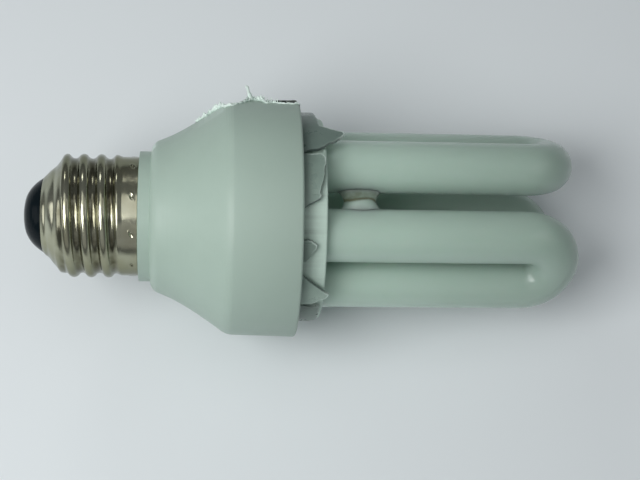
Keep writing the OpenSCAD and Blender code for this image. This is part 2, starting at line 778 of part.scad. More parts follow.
// A row of small wire-ended bodies lying on the board
module axial_row(x, y, turn, count, pitch, d, length) {
    wire_out = 1;
    lift = d / 2 + lead_d / 2;
    for (i = [0:count - 1])
        under_board(x, y)
            rotate(turn)
                translate([(i - (count - 1) / 2) * pitch, 0, lift]) {
                    rotate([90, 0, 0])
                        cylinder(d = d, h = length, center = true);
                    for (side = [-1, 1])
                        translate([-lead_d / 2, side * (length / 2 + wire_out) - (side > 0 ? lead_d : 0), -lift])
                            cube([lead_d, lead_d, lift + lead_d / 2]);
                    rotate([90, 0, 0])
                        cylinder(d = lead_d * 0.8, h = length + 2 * wire_out, center = true);
                }
}

// Bridge of four diodes beside the smoothing capacitor
diode_d = 2.6;
diode_len = 5;
diode_pitch = 3.6;
diode_x = board_r - 6;
module rectifier_diodes() {
    color("#26282a")
        lying()
            for (side = [-1, 1])
                axial_row(diode_x, side * (diode_len / 2 + 1.6), 0, 2, diode_pitch, diode_d, diode_len);
}

// Two small resistors side by side
resistor_x = board_r * 0.51;
resistor_y = board_r * 0.545;
resistor_pitch = 3;
resistor_d = 1.9;
resistor_len = 4;
module resistors() {
    color("#c8b078")
        lying()
            axial_row(-resistor_x, -resistor_y, -45, 2, resistor_pitch, resistor_d, resistor_len);
}

// The fuse resistor hangs on its own leads between the centre contact and the board
fuse_z = 11;
fuse_len = 9;
fuse_d = 3.6;
module fuse_resistor() {
    color("#6f8f78")
        lying()
            union() {
                translate([0, 0, fuse_z])
                    cylinder(d = fuse_d, h = fuse_len);
                translate([0, 0, contact_t + fit])
                    cylinder(d = lead_d, h = board_z - contact_t - 2 * fit);
            }
}

// Lead from the board to the shell, folded out under the end of the neck
module cap_lead() {
    r = bore_r - 0.3 - lead_d / 2;
    z = neck_top_z - 0.3 - lead_d / 2;
    reach = crest_r - thread_depth - shell_wall - 0.2;
    color("#b0703a")
        lying()
            rotate(270)
                union() {
                    translate([r, 0, z])
                        cylinder(d = lead_d, h = board_z - fit - z);
                    translate([r, 0, z])
                        sphere(d = lead_d);
                    translate([r, 0, z])
                        rotate([0, 90, 0])
                            cylinder(d = lead_d, h = reach - r);
                }
}

// Two leads run from each of the two electrode legs to the board
electrode_sites = [[120, -1], [0, 1]];
electrode_pitch = 2.8;
module electrode_leads() {
    color("#b8b0a0")
        lying()
            for (site = electrode_sites, side = [-1, 1])
                rotate(site[0])
                    translate([tube_offset, (site[1] * leg_pitch + side * electrode_pitch) / 2, board_top + fit])
                        cylinder(d = lead_d, h = leg_foot_z - board_top - 2 * fit);
}

centre_contact();
cap_insulator();
screw_shell();
housing();
tube_holder();
tube_cement();
discharge_tube();
reflector_adhesive();
glass_stub_1();
glass_stub_2();
glass_stub_3();
glass_stub_4();
glass_stub_5();
torn_glue();
glue_strand();
circuit_board();
smoothing_capacitor();
choke_core();
choke_winding();
drive_ring();
drive_windings();
transistor_1();
transistor_2();
film_capacitor_1();
film_capacitor_2();
rectifier_diodes();
resistors();
fuse_resistor();
cap_lead();
electrode_leads();
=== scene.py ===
"""Compact fluorescent reflector lamp, lying on its side with its glass reflector broken off.

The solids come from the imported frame. This add-on gives each of them its finish, replaces those whose
surface needs more detail with surfaces worked out on a grid, and sets the stage, the lamps and the camera.
Lengths are in metres. Round the lamp, angle 0 faces the floor, 90 and 270 face the sides and 180 faces up.
"""
import json

import bpy
import numpy as np
from mathutils import Matrix, Vector


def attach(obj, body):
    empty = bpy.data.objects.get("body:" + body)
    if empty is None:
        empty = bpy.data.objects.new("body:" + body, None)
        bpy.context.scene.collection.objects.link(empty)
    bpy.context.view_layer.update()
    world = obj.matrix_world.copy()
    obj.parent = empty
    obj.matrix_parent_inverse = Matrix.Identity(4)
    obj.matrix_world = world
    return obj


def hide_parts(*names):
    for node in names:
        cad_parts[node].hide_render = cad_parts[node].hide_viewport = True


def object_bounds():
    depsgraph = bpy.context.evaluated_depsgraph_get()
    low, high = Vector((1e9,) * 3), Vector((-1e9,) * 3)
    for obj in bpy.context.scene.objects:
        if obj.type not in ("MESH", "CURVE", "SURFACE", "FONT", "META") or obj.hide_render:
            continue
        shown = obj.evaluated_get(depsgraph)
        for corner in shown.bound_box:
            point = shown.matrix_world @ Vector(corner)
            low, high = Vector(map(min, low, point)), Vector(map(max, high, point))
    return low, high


bl_info = {
    "name": "Broken reflector lamp",
    "version": (1, 0, 0),
    "blender": (4, 5, 0),
    "location": "View3D > Sidebar > Lamp",
    "description": "Finishes a compact fluorescent reflector lamp and sets its stage",
    "category": "Object",
}

MM = 0.001
BODY = "root"

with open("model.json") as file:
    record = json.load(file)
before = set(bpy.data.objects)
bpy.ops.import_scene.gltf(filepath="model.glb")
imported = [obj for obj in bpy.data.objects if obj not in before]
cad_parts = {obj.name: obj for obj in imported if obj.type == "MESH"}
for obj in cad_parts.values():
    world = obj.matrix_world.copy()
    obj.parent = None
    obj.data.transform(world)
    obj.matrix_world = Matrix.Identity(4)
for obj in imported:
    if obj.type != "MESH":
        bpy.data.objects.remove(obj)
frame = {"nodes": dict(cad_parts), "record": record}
cad_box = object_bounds()

# The lamp's axis comes from the mount on the centre contact, whose normal points out of the lamp's end.
contact_normal = next(m for m in frame["record"]["mounts"] if m["name"] == "centre_contact")["axis"]
TILT_COS = -contact_normal[0]
TILT_SIN = contact_normal[2]


def length(name, millimetres, description):
    """A size in millimetres as a property in metres."""
    return bpy.props.FloatProperty(name=name, description=description, default=millimetres * MM,
                                   subtype="DISTANCE", unit="LENGTH", precision=5)


def colour(name, red, green, blue, description):
    """A colour written as it shows on a screen, from 0 to 255, as a linear colour property."""
    shown = np.array([red, green, blue]) / 255
    linear = np.where(shown <= 0.04045, shown / 12.92, ((shown + 0.055) / 1.055) ** 2.4)
    return bpy.props.FloatVectorProperty(name=name, description=description, default=tuple(linear),
                                         subtype="COLOR", min=0, max=1)


class CapSizes(bpy.types.PropertyGroup):
    """Sizes of the screw cap."""

    thread_d: length("Thread diameter", 26.2, "Diameter over the crests of the thread")
    pitch: length("Pitch", 3.629, "Distance from one crest to the next")
    depth: length("Thread depth", 0.95, "Depth of the thread from crest to root")
    crest_z: length("First crest", 11.2, "Height of the first full crest at angle 0")
    thread_end: length("Thread end", 21, "Height at which the thread has run out into the skirt")
    skirt_d: length("Skirt diameter", 25.3, "Diameter of the plain skirt")
    cap_len: length("Cap length", 24.1, "Height of the end of the skirt")
    wall: length("Sheet thickness", 0.35, "Thickness of the sheet brass")
    lip_d: length("Small end", 15.8, "Diameter of the shell's small end")
    lip_z: length("Small end height", 3.9, "Height of the shell's small end")
    flare: bpy.props.FloatProperty(name="Flare", description="Slope of the cone from the axis",
                                   default=np.radians(46), subtype="ANGLE", unit="ROTATION")
    crimps: bpy.props.IntProperty(name="Punch marks", description="Number of punch marks in the skirt",
                                  default=10, min=1)
    crimp_depth: length("Punch depth", 0.45, "Depth of each punch mark")
    crimp_inset: length("Punch inset", 1.3, "Distance of the punch marks from the end of the skirt")


class TubeSizes(bpy.types.PropertyGroup):
    """Sizes of the discharge tube."""

    tube_d: length("Tube diameter", 11, "Outer diameter of the glass tube")
    leg_pitch: length("Leg pitch", 13, "Distance between the two legs of one bent tube")
    offset: length("Offset", 12.5, "Distance from the axis to the middle of each bent tube")
    bend_z: length("Bend height", 105, "Height at which the bends begin")
    foot_z: length("Foot height", 54, "Height of the closed lower ends of the legs")
    bridge_z: length("Bridge height", 70, "Height of the bridges")
    bridge_w: length("Bridge width", 9, "Width of a bridge along the tubes where it meets a leg")
    waist_w: length("Bridge waist", 6.8, "Width of a bridge along the tubes at its waist")
    near_t: length("Thin end", 3.2, "Thickness of a bridge at its thinner end")
    far_t: length("Thick end", 7, "Thickness of a bridge at its thicker end")
    sunk: length("Bridge depth", 0.5, "How far a bridge lies deeper than the middles of its tubes")
    seam: length("Seam", 0.3, "Distance of the bridge's seam from its middle")
    seam_w: length("Seam width", 0.35, "Width of the stain on that seam")


class StubSizes(bpy.types.PropertyGroup):
    """Sizes of the broken neck of the reflector."""

    outer_r: length("Outer radius", 22.8, "Outer radius of the neck's glass wall")
    wall: length("Wall", 0.9, "Thickness of that wall")
    foot_z: length("Foot height", 53.3, "Height of the wall's foot in the groove")
    rim_z: length("Rim height", 57.35, "Height of the housing's rim, from which the stubs are measured")
    tallest: length("Tallest stub", 9.1, "Height of the tallest stub above the rim")
    slant: length("Slant", 0.14, "How far the broken face slants back over the wall's thickness")
    chip: length("Chips", 0.07, "Depth of the small chips along the broken edge")
    edge_wall: length("Edge wall", 0.5, "Thickness to which the wall thins out at the broken edge")


class TearSizes(bpy.types.PropertyGroup):
    """Sizes of the torn wall and of the white glue that was torn with it."""

    angle: bpy.props.FloatProperty(name="Angle", description="Angle round the lamp of the middle of the tear",
                                   default=np.radians(113), subtype="ANGLE", unit="ROTATION")
    rim_z: length("Rim height", 57.35, "Height of the housing's rim")
    rim_r: length("Rim radius", 25.4, "Radius of the housing at the rim")
    reach: length("Tear length", 21.4, "Length of the tear from the rim")
    lip_w: length("Lip width", 0.5, "Width of the lip of glue")
    lip_h: length("Lip height", 0.85, "Height of the lip where it stands highest")
    strand_len: length("Strand length", 2.1, "How far the strand stands out of the lip")
    strand_d: length("Strand thickness", 1, "Thickness of the strand at its foot")
    strand_lean: length("Strand lean", 1, "How far the strand leans towards the cap")
    tatters: bpy.props.IntProperty(name="Tatters", description="Number of small tatters along the lip",
                                   default=34, min=1)


class LampColours(bpy.types.PropertyGroup):
    """Colours of the finishes."""

    housing: colour("Housing", 169, 189, 177, "Moulded housing")
    torn: colour("Torn plastic", 206, 222, 214, "Plastic turned white where it tore")
    # Colour to which the torn faces darken near the rim
    rim_darkening: colour("Rim_darkening", 46, 56, 50, "Dark smear on the tear near the rim")
    holder: colour("Holder", 192, 214, 201, "Tube holder")
    tube: colour("Tube", 174, 197, 184, "Coated glass tube")
    # Stain on the bridges' seams, also used as painted shade towards their thinner ends
    weld: colour("Weld", 104, 106, 82, "Stain on the glass of the bridges")
    shell: colour("Shell", 190, 190, 168, "Plated brass of the screw shell")
    # Painted shade and reflection on the shell's sides
    side_shade: colour("Side_shade", 90, 92, 62, "Duller sides of the screw shell")
    tarnish: colour("Tarnish", 62, 58, 38, "Tarnish in the roots of the thread")
    black_glass: colour("Insulator", 14, 22, 26, "Glass of the insulator")
    contact: colour("Contact", 150, 150, 142, "Centre contact")
    adhesive: colour("Adhesive", 120, 134, 118, "Adhesive in the groove")
    dirt: colour("Dirt", 52, 50, 38, "Dirt in the groove")
    stub: colour("Stubs", 88, 106, 101, "Bare glass of the broken stubs")
    dust: colour("Dust", 168, 190, 176, "Dust on that glass")
    # Painted highlight along the gleaming broken edges
    edge_highlight: colour("Edge_highlight", 214, 230, 222, "Fresh edges of the broken glass")
    glue: colour("Glue", 224, 240, 232, "Torn glue")


class StageSizes(bpy.types.PropertyGroup):
    """Stage and camera."""

    floor: colour("Floor", 226, 232, 234, "Floor")
    backdrop: colour("Backdrop", 205, 211, 213, "Far floor and surroundings, as the camera sees them")
    pool: length("Pool", 150, "Distance from the lamp's middle at which the floor starts to fade into the backdrop")
    fade: length("Fade", 500, "Distance from there to where only the backdrop is seen")
    floor_size: length("Floor size", 3000, "Width of the floor")
    field_of_view: bpy.props.FloatProperty(name="Field of view", description="Camera's angle across the frame",
                                           default=np.radians(26.29), subtype="ANGLE", unit="ROTATION")
    distance: length("Camera distance", 290.0725, "Distance of the camera above the tip's plane")
    across: length("Camera across", 62.4212, "Camera's place along the lamp, from the tip")
    down: length("Camera down", 5.3473, "Camera's place across the lamp, from the tip")


# Broken edge of each stub: the angle it is drawn from, then points along it, each with its angle round the lamp,
# its share of the tallest stub's height and how bright the edge gleams there.
STUB_EDGES = {
    1: (148, ((99, 0.3, 0.3), (112, 0.34, 0.3), (124, 0.38, 0.4), (136, 0.43, 0.5), (140.5, 0.45, 1),
              (143, 0.66, 1), (145, 0.81, 1), (145.8, 0.95, 1), (148.5, 1, 1), (151, 0.92, 0.6), (154.3, 0.78, 0.2),
              (156, 0.62, 0.1), (158.2, 0.51, 0.1), (160.2, 0.4, 0), (160.9, 0.24, 0), (161.5, 0.09, 0))),
    2: (172, ((163.2, 0.1, 0.3), (162.7, 0.27, 0.4), (162.6, 0.38, 0.8), (163.2, 0.45, 1), (164.5, 0.51, 1),
              (166.5, 0.53, 0.8), (168.6, 0.53, 0.4), (173, 0.49, 0.2), (178, 0.47, 0.1), (183, 0.4, 0.1),
              (185.5, 0.37, 0.4), (187, 0.42, 0.6), (189, 0.37, 0.2), (192, 0.13, 0), (193.5, 0.02, 0))),
    3: (214, ((209.8, 0.03, 0), (208.8, 0.12, 0.2), (209.8, 0.21, 0.8), (212, 0.33, 1), (214.5, 0.31, 0.6),
              (217, 0.23, 0.2), (218.8, 0.19, 0), (221, 0.08, 0))),
    4: (242, ((228.6, 0.02, 0), (231.5, 0.16, 0), (234.6, 0.31, 0), (239.3, 0.55, 0.2), (241.4, 0.66, 0.8),
              (243, 0.65, 1), (244.5, 0.6, 1), (246.1, 0.48, 1), (248.3, 0.35, 1), (249.2, 0.26, 0.5))),
    5: (257, ((250.3, 0.09, 0), (251.5, 0.27, 0.2), (250.8, 0.47, 0.4), (257.6, 0.48, 0.3), (264, 0.47, 0.3),
              (267.4, 0.42, 0.3), (269.4, 0.26, 0.2))),
}
# How clear each stub is, and how much of it dust covers. The dust shares also paint each stub's shade: a lower share
# makes it darker.
CLEAR = {1: 0.15, 2: 0.1, 3: 0.35, 4: 0.1, 5: 0.5}
DUST_AND_SHADE = {1: 0.28, 2: 0.5, 3: 0.5, 4: 0.65, 5: 0.4}

# Edge of the tear from the rim to its end: share of its length, degrees from its middle, share of the lip's height
TEAR_EDGE = ((0, 14, 0.35), (0.07, 15, 0.4), (0.19, 14, 0.3), (0.26, 12, 0.35), (0.32, 13, 0.5), (0.38, 6, 0.75),
             (0.44, 5, 1.3), (0.51, 8, 0.9), (0.58, 13, 0.5), (0.65, 16, 0.5), (0.72, 15, 0.6), (0.77, 7, 1),
             (0.84, 4, 1.1), (0.9, 5, 0.95), (0.95, 2, 0.85), (1, 0, 0.7))

# Height and radius of the housing's outside along the tear, in millimetres
WALL = ((35, 19.72), (38, 21.69), (41.4, 24.1), (42.4, 24.7), (44, 25.05), (56.85, 25.4), (57.35, 24.95))


def row_points(x, y, z):
    """Lamp coordinates to the frame: the lamp's axis, z, lies along +X and leans down by the resting tilt."""
    return np.stack([z * TILT_COS - x * TILT_SIN, y + 0 * x, -x * TILT_COS - z * TILT_SIN], axis=-1)


def around(radius, angle, height):
    """Points at a radius and an angle round the lamp's axis, and a height along it."""
    return row_points(radius * np.cos(angle), radius * np.sin(angle), height + 0 * angle)


def ease(t):
    """Smooth step from 0 to 1: 3 t squared less 2 t cubed."""
    c = np.clip(t, 0, 1)
    return c * c * (3 - 2 * c)


def wander(seed, count, knots):
    """Values that wander between -1 and 1: random at evenly spaced knots, with straight lines between them."""
    values = np.random.default_rng(seed).uniform(-1, 1, knots)
    return np.interp(np.linspace(0, 1, count), np.linspace(0, 1, knots), values)


def along_line(x, y):
    """Distance along a line of points in a plane, from its first point."""
    return np.concatenate([[0], np.cumsum(np.hypot(np.diff(x), np.diff(y)))])


def line_normals(x, y):
    """Unit vectors square to a line of points in a plane, to the right of its course."""
    dx, dy = np.gradient(x), np.gradient(y)
    size = np.hypot(dx, dy)
    return dy / size, -dx / size


def grid_faces(rows, columns, wrap_rows=False, wrap_columns=False):
    """Quads between neighbouring rows and columns of a grid of points, counted row by row."""
    r = np.arange(rows if wrap_rows else rows - 1)[:, None]
    c = np.arange(columns if wrap_columns else columns - 1)[None, :]
    up, side = (r + 1) % rows, (c + 1) % columns
    return np.stack([r * columns + c, r * columns + side, up * columns + side, up * columns + c],
                    axis=-1).reshape(-1, 4)


def enclosed(points, faces):
    """Volume inside faces, as the sum of the pyramids that their triangles make with the origin."""
    fans = [np.stack([f[:, 0], f[:, k], f[:, k + 1]], axis=-1) for f in faces for k in range(1, f.shape[1] - 1)]
    a, b, c = np.moveaxis(points[np.concatenate(fans)], 1, 0)
    return (a * np.cross(b, c)).sum() / 6


def make_piece(name, points, faces, replaced=()):
    """Makes a smooth piece from its points and its lists of quads or triangles, with its faces outward."""
    mesh = bpy.data.meshes.new(name)
    points = np.asarray(points, float).reshape(-1, 3)
    if enclosed(points, faces) < 0:
        faces = [f[:, ::-1] for f in faces]
    corners = np.concatenate([f.ravel() for f in faces])
    sizes = np.concatenate([np.full(len(f), f.shape[1]) for f in faces])
    mesh.vertices.add(len(points))
    mesh.vertices.foreach_set("co", points.ravel())
    mesh.loops.add(len(corners))
    mesh.loops.foreach_set("vertex_index", corners)
    mesh.polygons.add(len(sizes))
    mesh.polygons.foreach_set("loop_start", np.concatenate([[0], np.cumsum(sizes)[:-1]]))
    mesh.polygons.foreach_set("use_smooth", np.ones(len(sizes), bool))
    mesh.update(calc_edges=True)
    mesh.validate()
    piece = bpy.data.objects.new(name, mesh)
    bpy.context.scene.collection.objects.link(piece)
    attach(piece, BODY)
    if replaced:
        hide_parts(*replaced)
    return piece


def end_fans(rows, columns):
    """Triangles that close a tube of rows of points: two more points, one after the other, are its ends."""
    c = np.arange(columns)
    side = (c + 1) % columns
    first, last = np.full(columns, rows * columns), np.full(columns, rows * columns + 1)
    top = (rows - 1) * columns
    return np.concatenate([np.stack([first, side, c], axis=-1), np.stack([last, top + c, top + side], axis=-1)])


def make_tubes(name, grids, replaced):
    """One piece of several tubes, each a grid of rings that is closed at both ends. Each part's rows of rings
    take its points in turn, and two more points close its ends."""
    points, faces, count = [], [], 0
    for grid in grids:
        rows, columns = grid.shape[:2]
        points += [grid.reshape(-1, 3), grid[[0, -1]].mean(axis=1)]
        faces += [grid_faces(rows, columns, wrap_columns=True) + count, end_fans(rows, columns) + count]
        count += rows * columns + 2
    return make_piece(name, np.concatenate(points), faces, replaced)


def store(piece, name, values):
    """Keeps one number for each point of a piece, for its material to read."""
    piece.data.attributes.new(name, "FLOAT", "POINT").data.foreach_set("value", np.ravel(values).astype(np.float32))


def paint(material, *names):
    """Gives CAD nodes and pieces their material."""
    for name in names:
        thing = frame["nodes"].get(name) or bpy.data.objects[name]
        thing.data.materials.clear()
        thing.data.materials.append(material)


def new_material(name):
    """A material with an empty tree, its tree and its shader."""
    material = bpy.data.materials.new(name)
    material.use_nodes = True
    tree = material.node_tree
    return material, tree, tree.nodes["Principled BSDF"]


def add(tree, kind, inputs=(), **settings):
    """Adds a node. Inputs are sockets' names or numbers with a value or another node's output."""
    node = tree.nodes.new(kind)
    for key, value in settings.items():
        setattr(node, key, value)
    for key, value in dict(inputs).items():
        if isinstance(value, bpy.types.NodeSocket):
            tree.links.new(value, node.inputs[key])
        else:
            node.inputs[key].default_value = value
    return node


def noise(tree, size, detail=4, roughness=0.55):
    """Noise on Object coordinates whose lumps are about size metres across."""
    place = add(tree, "ShaderNodeTexCoord")
    return add(tree, "ShaderNodeTexNoise", {"Vector": place.outputs["Object"], "Scale": 1 / size,
                                            "Detail": detail, "Roughness": roughness}).outputs["Fac"]


def ramp(tree, value, low, high, to_low=0.0, to_high=1.0):
    """Maps a value from low..high to to_low..to_high, held within them."""
    return add(tree, "ShaderNodeMapRange", {"Value": value, "From Min": low, "From Max": high,
                                            "To Min": to_low, "To Max": to_high}).outputs["Result"]


def mix(tree, share, first, second):
    """Mixes two colours."""
    node = add(tree, "ShaderNodeMix", {"Factor": share, "A": (0, 0, 0, 1)}, data_type="RGBA")
    for key, value in ((6, first), (7, second)):
        if isinstance(value, bpy.types.NodeSocket):
            tree.links.new(value, node.inputs[key])
        else:
            node.inputs[key].default_value = (*value, 1)
    return node.outputs[2]


def bump(tree, height, strength, distance):
    """Bump from a height, distance metres deep."""
    return add(tree, "ShaderNodeBump", {"Height": height, "Strength": strength,
                                        "Distance": distance}).outputs["Normal"]


def lamp_direction(angle, height=0.0):
    """Direction at an angle round the lamp's axis, or along it when height is 1, as a plain vector."""
    return tuple(row_points(np.cos(angle) * (1 - height), np.sin(angle) * (1 - height), float(height)))


def outward(tree):
    """The direction away from the lamp's axis: the place less its part along the axis, made one unit long."""
    place = add(tree, "ShaderNodeTexCoord").outputs["Object"]
    axis = lamp_direction(0, 1)
    height = add(tree, "ShaderNodeVectorMath", {0: place, 1: axis}, operation="DOT_PRODUCT").outputs["Value"]
    along = add(tree, "ShaderNodeVectorMath", {0: axis, "Scale": height}, operation="SCALE").outputs[0]
    across = add(tree, "ShaderNodeVectorMath", {0: place, 1: along}, operation="SUBTRACT").outputs[0]
    return add(tree, "ShaderNodeVectorMath", {0: across}, operation="NORMALIZE").outputs[0], height


def facing(tree, direction):
    """How far the surface faces a direction or its opposite: 1 square on, 0 edge on."""
    normal = add(tree, "ShaderNodeNewGeometry").outputs["Normal"]
    cosine = add(tree, "ShaderNodeVectorMath", {0: normal, 1: direction}, operation="DOT_PRODUCT").outputs["Value"]
    return add(tree, "ShaderNodeMath", {0: cosine}, operation="ABSOLUTE").outputs[0]


def product(tree, *values):
    """Product of two or more values."""
    result = values[0]
    for value in values[1:]:
        result = add(tree, "ShaderNodeMath", {0: result, 1: value}, operation="MULTIPLY").outputs[0]
    return result


def housing_finish(colours):
    """Satin moulded plastic: faint grime, a fine moulded grain, and painted shade that makes it greyer to the rim.
    Where it tore it is white, frayed grey further on and darker and mottled near the rim."""
    material, tree, shader = new_material("satin_white_plastic")
    away, height = outward(tree)
    grime = ramp(tree, noise(tree, 9 * MM, 6, 0.6), 0.45, 0.75, 0, 0.3)
    plain = mix(tree, grime, colours.housing, np.array(colours.housing) * 0.88)
    # Painted shade: the plastic darkens towards the rim.
    shaded_to_rim = mix(tree, ramp(tree, height, 44 * MM, 58 * MM, 0, 0.75), plain, np.array(colours.housing) * 0.78)
    tear = tuple(lamp_direction(np.radians(113)))
    near = add(tree, "ShaderNodeVectorMath", {0: away, 1: tear}, operation="DOT_PRODUCT").outputs["Value"]
    cut = product(tree, ramp(tree, facing(tree, away), 0.75, 0.85, 1, 0), ramp(tree, near, 0.93, 0.95),
                  ramp(tree, facing(tree, lamp_direction(0, 1)), 0.96, 0.99, 1, 0))
    # The torn faces turn darker and mottled above 47.5 mm.
    rim_darkening = product(tree, ramp(tree, height, 47.5 * MM, 51 * MM),
                    ramp(tree, noise(tree, 0.8 * MM, 5), 0.3, 0.5, 0.45, 1))
    tree.links.new(mix(tree, cut, shaded_to_rim, mix(tree, rim_darkening, colours.torn, colours.rim_darkening)), shader.inputs["Base Color"])
    tree.links.new(ramp(tree, noise(tree, 2.5 * MM), 0.3, 0.7, 0.38, 0.5), shader.inputs["Roughness"])
    tree.links.new(bump(tree, noise(tree, 0.35 * MM, 3), 0.25, 0.02 * MM), shader.inputs["Normal"])
    shader.inputs["Specular IOR Level"].default_value = 0.4
    shader.inputs["Subsurface Weight"].default_value = 0.12
    shader.inputs["Subsurface Radius"].default_value = (1.0, 0.9, 0.8)
    shader.inputs["Subsurface Scale"].default_value = 0.8 * MM
    return material


def holder_finish(colours):
    """Matte moulded plastic with dust, and faint streaks of dirt along the lamp that painted shade darkens towards
    the groove.
    """
    material, tree, shader = new_material("matte_white_plastic")
    dust = ramp(tree, noise(tree, 4 * MM, 7, 0.65), 0.4, 0.72, 0, 0.5)
    dusty = mix(tree, dust, colours.holder, np.array(colours.holder) * 0.82)
    away, height = outward(tree)
    streaks = add(tree, "ShaderNodeTexNoise", {"Vector": away, "Scale": 24, "Detail": 3}).outputs["Fac"]
    # Painted shade: the streaks grow darker towards the groove.
    low = ramp(tree, height, 56 * MM, 62 * MM, 1, 0.25)
    grime = product(tree, ramp(tree, streaks, 0.45, 0.7, 0, 0.7), low)
    tree.links.new(mix(tree, grime, dusty, np.array(colours.holder) * 0.5), shader.inputs["Base Color"])
    tree.links.new(bump(tree, noise(tree, 0.4 * MM, 3), 0.3, 0.03 * MM), shader.inputs["Normal"])
    shader.inputs["Roughness"].default_value = 0.55
    return material


def tube_finish(colours):
    """Clear glass over a white powder coat, greyer towards the bends by painted shade, and stained brown at the
    bridges with painted shade beside the seams.
    """
    material, tree, shader = new_material("coated_tube_glass")
    cloud = ramp(tree, noise(tree, 14 * MM, 5), 0.35, 0.7, 0, 0.3)
    coat = mix(tree, cloud, colours.tube, np.array(colours.tube) * 0.92)
    height = outward(tree)[1]
    # Painted shade: the coat greys towards the bends.
    with_painted_shade = mix(tree, ramp(tree, height, 78 * MM, 116 * MM, 0, 1), coat, np.array(colours.tube) * 0.72)
    # Stain on the bridges' seams, with painted shade towards their thinner ends.
    weld = add(tree, "ShaderNodeAttribute", attribute_name="weld").outputs["Fac"]
    stain = product(tree, weld, ramp(tree, noise(tree, 1.5 * MM, 3), 0.35, 0.6, 0.7, 1))
    tree.links.new(mix(tree, stain, with_painted_shade, colours.weld), shader.inputs["Base Color"])
    tree.links.new(bump(tree, noise(tree, 5 * MM, 2), 0.2, 0.05 * MM), shader.inputs["Coat Normal"])
    shader.inputs["Roughness"].default_value = 0.6
    shader.inputs["Coat Weight"].default_value = 0.7
    shader.inputs["Coat Roughness"].default_value = 0.07
    shader.inputs["Subsurface Weight"].default_value = 0.9
    shader.inputs["Subsurface Radius"].default_value = (1.0, 0.95, 0.9)
    shader.inputs["Subsurface Scale"].default_value = 9 * MM
    return material


def shell_finish(colours):
    """Nickel-plated brass with painted shade and reflection: bright along the top, duller and browner round the
    sides. Tarnish darkens the thread's roots.
    """
    material, tree, shader = new_material("plated_brass_shell")
    root = add(tree, "ShaderNodeAttribute", attribute_name="root").outputs["Fac"]
    away = outward(tree)[0]
    # Painted shade and reflection: the further the surface turns from the top, the duller and browner it is coloured.
    upward = add(tree, "ShaderNodeVectorMath", {0: away, 1: lamp_direction(np.radians(200))},
                 operation="DOT_PRODUCT").outputs["Value"]
    side = ramp(tree, upward, 0.35, 0.9, 0.9, 0)
    with_painted_shade = mix(tree, side, colours.shell, colours.side_shade)
    film = ramp(tree, noise(tree, 6 * MM, 3, 0.5), 0.4, 0.7, 0, 0.4)
    filmed = mix(tree, film, with_painted_shade, np.array(colours.shell) * (0.5, 0.46, 0.3))
    grime = product(tree, root, ramp(tree, noise(tree, 3 * MM, 4), 0.3, 0.65, 0.3, 0.9))
    tree.links.new(mix(tree, grime, filmed, colours.tarnish), shader.inputs["Base Color"])
    tree.links.new(ramp(tree, noise(tree, 1.5 * MM, 5), 0.3, 0.75, 0.12, 0.24), shader.inputs["Roughness"])
    tree.links.new(bump(tree, noise(tree, 2.6 * MM, 3), 0.25, 0.05 * MM), shader.inputs["Normal"])
    shader.inputs["Metallic"].default_value = 1
    return material


def glass_insulator_finish(colours):
    """Black glass fused into the cap."""
    material, tree, shader = new_material("black_insulator_glass")
    tree.links.new(ramp(tree, noise(tree, 1.5 * MM, 5), 0.35, 0.7, 0.1, 0.28), shader.inputs["Roughness"])
    tree.links.new(bump(tree, noise(tree, 2.5 * MM, 3), 0.35, 0.1 * MM), shader.inputs["Normal"])
    shader.inputs["Base Color"].default_value = (*colours.black_glass, 1)
    shader.inputs["Specular IOR Level"].default_value = 0.06
    return material


def metal_finish(name, tone, roughness):
    """Plain metal with a brushed, slightly uneven surface."""
    material, tree, shader = new_material(name)
    stain = ramp(tree, noise(tree, 0.8 * MM, 6), 0.4, 0.7, 0, 0.6)
    tree.links.new(mix(tree, stain, tone, np.array(tone) * 0.6), shader.inputs["Base Color"])
    tree.links.new(bump(tree, noise(tree, 0.5 * MM, 4), 0.3, 0.04 * MM), shader.inputs["Normal"])
    shader.inputs["Roughness"].default_value = roughness
    shader.inputs["Metallic"].default_value = 1
    return material


def rough_finish(name, tone, stain_tone, grain, depth, roughness):
    """Rough dull stuff with stains: grain is the size of its lumps and depth how high they stand."""
    material, tree, shader = new_material(name)
    stain = ramp(tree, noise(tree, 3 * grain, 7, 0.65), 0.48, 0.66)
    tree.links.new(mix(tree, stain, tone, stain_tone), shader.inputs["Base Color"])
    tree.links.new(bump(tree, noise(tree, grain, 5), 0.8, depth), shader.inputs["Normal"])
    shader.inputs["Roughness"].default_value = roughness
    return material


